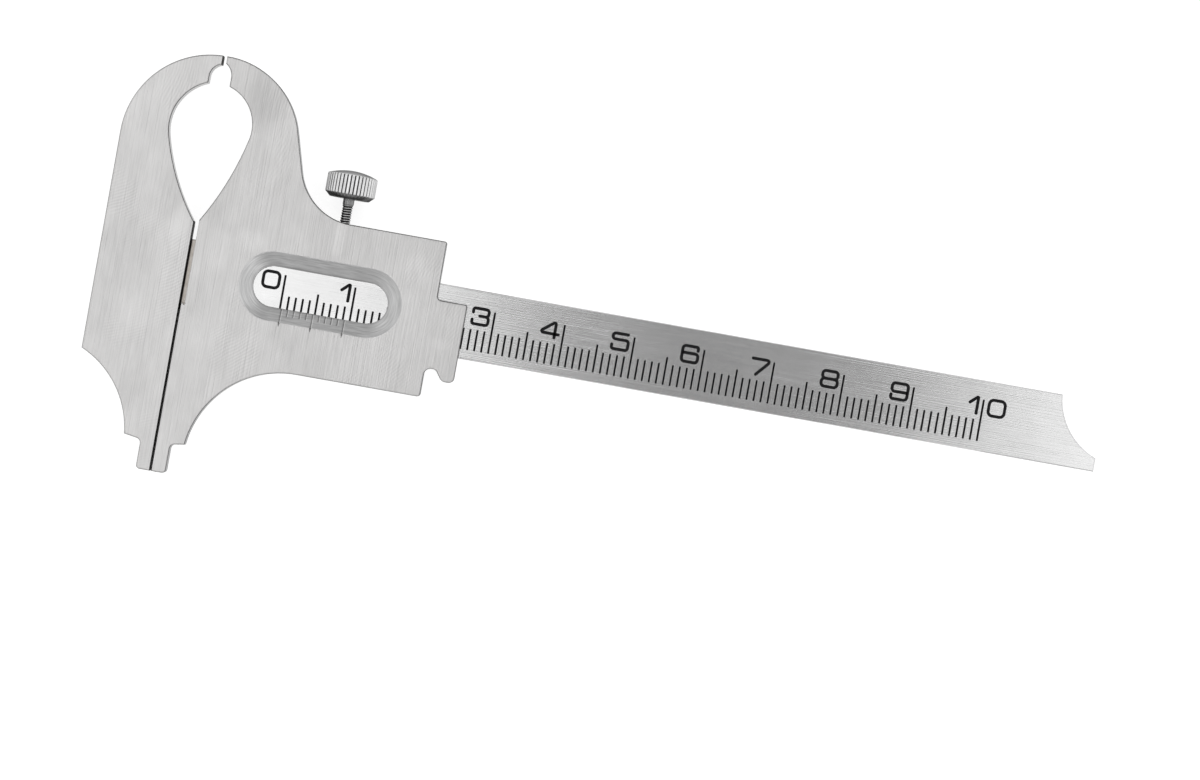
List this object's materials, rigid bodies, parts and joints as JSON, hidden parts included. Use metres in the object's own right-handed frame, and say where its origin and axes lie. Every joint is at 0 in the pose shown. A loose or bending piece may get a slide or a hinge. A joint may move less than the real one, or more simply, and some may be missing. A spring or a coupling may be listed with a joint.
{
  "type": "vernier calliper",
  "caption": "Flat steel dental vernier calliper with a fixed and a sliding jaw, curved arms above, narrow beaks below, a bevelled reading window and a knurled lock screw.",
  "frame": {"origin": "where the fixed jaw's measuring face meets the beam's centreline, at the level of the flat back", "axes": "+X along the beam to its free end, +Y towards the curved arms and the lock screw, +Z from the back to the scale side"},
  "size_m": [0.1435, 0.0594, 0.0071],
  "materials": {
    "scale_steel": "ground lengthwise",
    "jaw_steel": "ground across, satin",
    "rivet_steel": "ground flush",
    "gib_brass": "milled",
    "screw_steel": "turned and knurled"
  },
  "bodies": {
    "fixed_half": {"beam": "scale_steel", "fixed_jaw": "jaw_steel", "fixed_jaw_cover": "jaw_steel", "fixed_jaw_rivets": "rivet_steel"},
    "sliding_half": {"slider": "jaw_steel", "slider_cover": "jaw_steel", "slider_rivets": "rivet_steel"},
    "gib_strip": {"gib": "gib_brass"},
    "screw": {"lock_screw": "screw_steel"}
  },
  "joints": [
    {"name": "jaw_slide", "type": "slide", "parent": "fixed_half", "child": "sliding_half", "axis": [1, 0, 0], "range_m": [-0.00025, 0.09975]},
    {"name": "lock_feed", "type": "slide", "parent": "sliding_half", "child": "gib_strip", "axis": [0, 1, 0], "range_m": [-0.0000388, 0.00035]},
    {"name": "lock_turn", "type": "hinge", "parent": "gib_strip", "child": "screw", "pos_m": [0.0209, 0.01, 0.00175], "axis": [0, 1, 0], "range_deg": [-40, 360]}
  ],
  "couplings": [
    {"joint": "lock_turn", "follows": "lock_feed", "rad_per_m": 17950}
  ]
}
